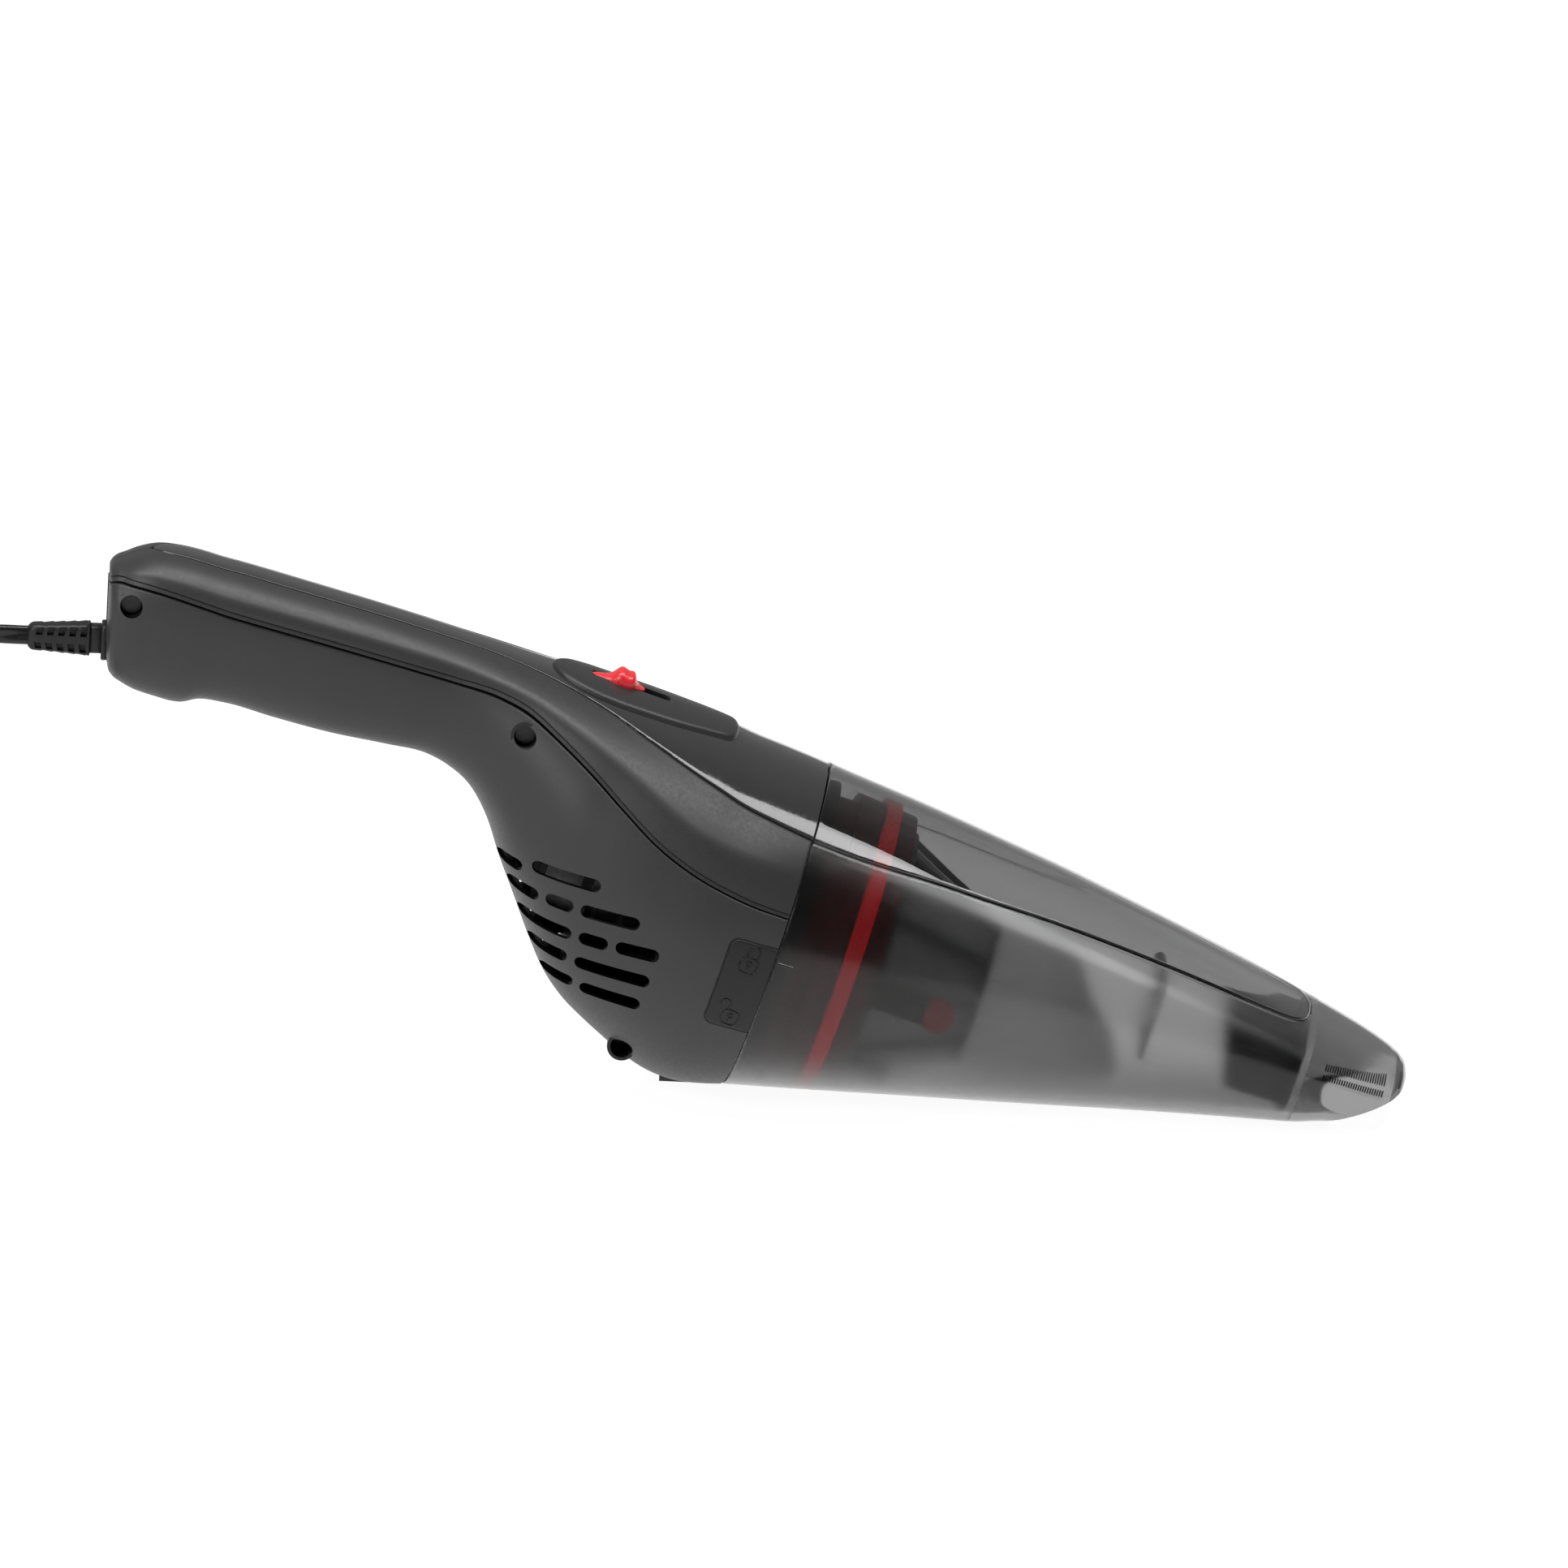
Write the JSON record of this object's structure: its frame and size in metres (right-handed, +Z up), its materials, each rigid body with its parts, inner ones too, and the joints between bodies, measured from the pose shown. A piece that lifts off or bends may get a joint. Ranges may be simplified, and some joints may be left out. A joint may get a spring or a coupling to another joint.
{
  "type": "handheld vacuum cleaner",
  "caption": "Corded handheld vacuum cleaner with a tapering smoke-clear dust bowl, slanted nozzle, top slide switch, grip handle and a coiled flat lead ending in a vehicle accessory plug.",
  "frame": {"origin": "middle of the bounding box of the cleaner without its free lead and plug, on the table it rests on", "axes": "+X towards the nozzle along the table, +Y to the cleaner's left, +Z up"},
  "size_m": [0.617, 0.1653, 0.1626],
  "materials": {
    "shell_grey": "fine-textured dark grey",
    "cover_grey": "satin dark grey",
    "spine_grey": "semi-gloss mid grey",
    "soft_black": "matte soft-touch",
    "panel_grey": "matte",
    "black_plastic": "matte",
    "red_plastic": "satin red",
    "filter_red": "gloss red",
    "smoke_clear": "smoke-tinted, lightly frosted",
    "smoke_gloss": "smoke-tinted, polished",
    "rubber": "matte black",
    "steel": "bright zinc",
    "can_steel": "zinc plated",
    "laminations": "stacked steel",
    "magnet": "sintered ferrite",
    "brass": "machined",
    "bronze": "sintered bronze",
    "copper": "enamelled copper",
    "carbon": "carbon",
    "nylon": "natural nylon",
    "cloth": "pleated felt",
    "mesh": "fine woven mesh",
    "lead_black": "satin vinyl",
    "wire_red": "insulated",
    "lens": "clear red",
    "nickel": "nickel plated",
    "glass": "clear",
    "ceramic": "dipped"
  },
  "bodies": {
    "housing": {"right_housing": "shell_grey", "left_housing": "shell_grey", "top_cover": "cover_grey", "spine_panel": "spine_grey", "switch_pad": "soft_black", "lock_panel": "panel_grey", "foot": "rubber", "housing_screws": "steel", "bowl_spigot": "black_plastic", "fan_guard": "black_plastic", "fan_housing": "black_plastic", "motor_plate": "black_plastic", "motor_screws": "steel", "motor_can": "can_steel", "bushes": "bronze", "magnets": "magnet", "brushes": "carbon", "brush_arms": "brass", "motor_end_cap": "nylon", "capacitor": "ceramic", "motor_cradle": "black_plastic", "motor_grommet": "rubber", "switch_body": "black_plastic", "switch_terminals": "brass", "live_wires": "wire_red", "return_wire": "lead_black", "cord_clamp": "black_plastic", "clamp_screws": "steel", "strain_relief": "rubber", "lead": "lead_black", "lead_coil": "lead_black", "lead_tie": "black_plastic", "plug_boot": "rubber", "plug_body": "black_plastic", "plug_lens": "lens", "plug_nose": "black_plastic", "plug_cap": "nickel", "plug_spring": "steel", "plug_fuse": "glass", "side_contacts": "nickel"},
    "rotor": {"impeller": "nylon", "shaft": "steel", "fan_nut": "brass", "armature": "laminations", "windings": "copper", "commutator": "copper"},
    "slider": {"switch_slider": "red_plastic", "slider_carrier": "black_plastic", "switch_toggle": "nylon"},
    "filter": {"filter_frame": "filter_red", "screen_cage": "black_plastic", "screen_mesh": "mesh", "filter_cloth": "cloth", "filter_seal": "rubber"},
    "bowl": {"dust_bowl": "smoke_clear", "bowl_window": "smoke_gloss", "inlet_duct": "black_plastic", "flap_pin": "steel"},
    "flap": {"inlet_flap": "rubber"},
    "plug_contact": {"plug_tip": "brass"}
  },
  "joints": [
    {"name": "motor_spin", "type": "hinge", "parent": "housing", "child": "rotor", "pos_m": [-0.00075, 0, 0.05661], "axis": [0.9598, 0, -0.2807], "continuous": true},
    {"name": "switch_slide", "type": "slide", "parent": "housing", "child": "slider", "axis": [0.9598, 0, -0.2807], "range_m": [0, 0.0075]},
    {"name": "bowl_twist", "type": "hinge", "parent": "housing", "child": "filter", "pos_m": [0.01845, 0, 0.051], "axis": [0.9598, 0, -0.2807], "range_deg": [0, 20]},
    {"name": "bowl_pull", "type": "slide", "parent": "filter", "child": "bowl", "axis": [0.9598, 0, -0.2807], "range_m": [0, 0.09]},
    {"name": "flap_swing", "type": "hinge", "parent": "bowl", "child": "flap", "pos_m": [0.13775, 0, 0.03997], "axis": [0, 1, 0], "range_deg": [0, 55]},
    {"name": "contact_press", "type": "slide", "parent": "housing", "child": "plug_contact", "axis": [0, -1, 0], "range_m": [0, 0.003], "stiffness_N_per_m": 1500}
  ]
}
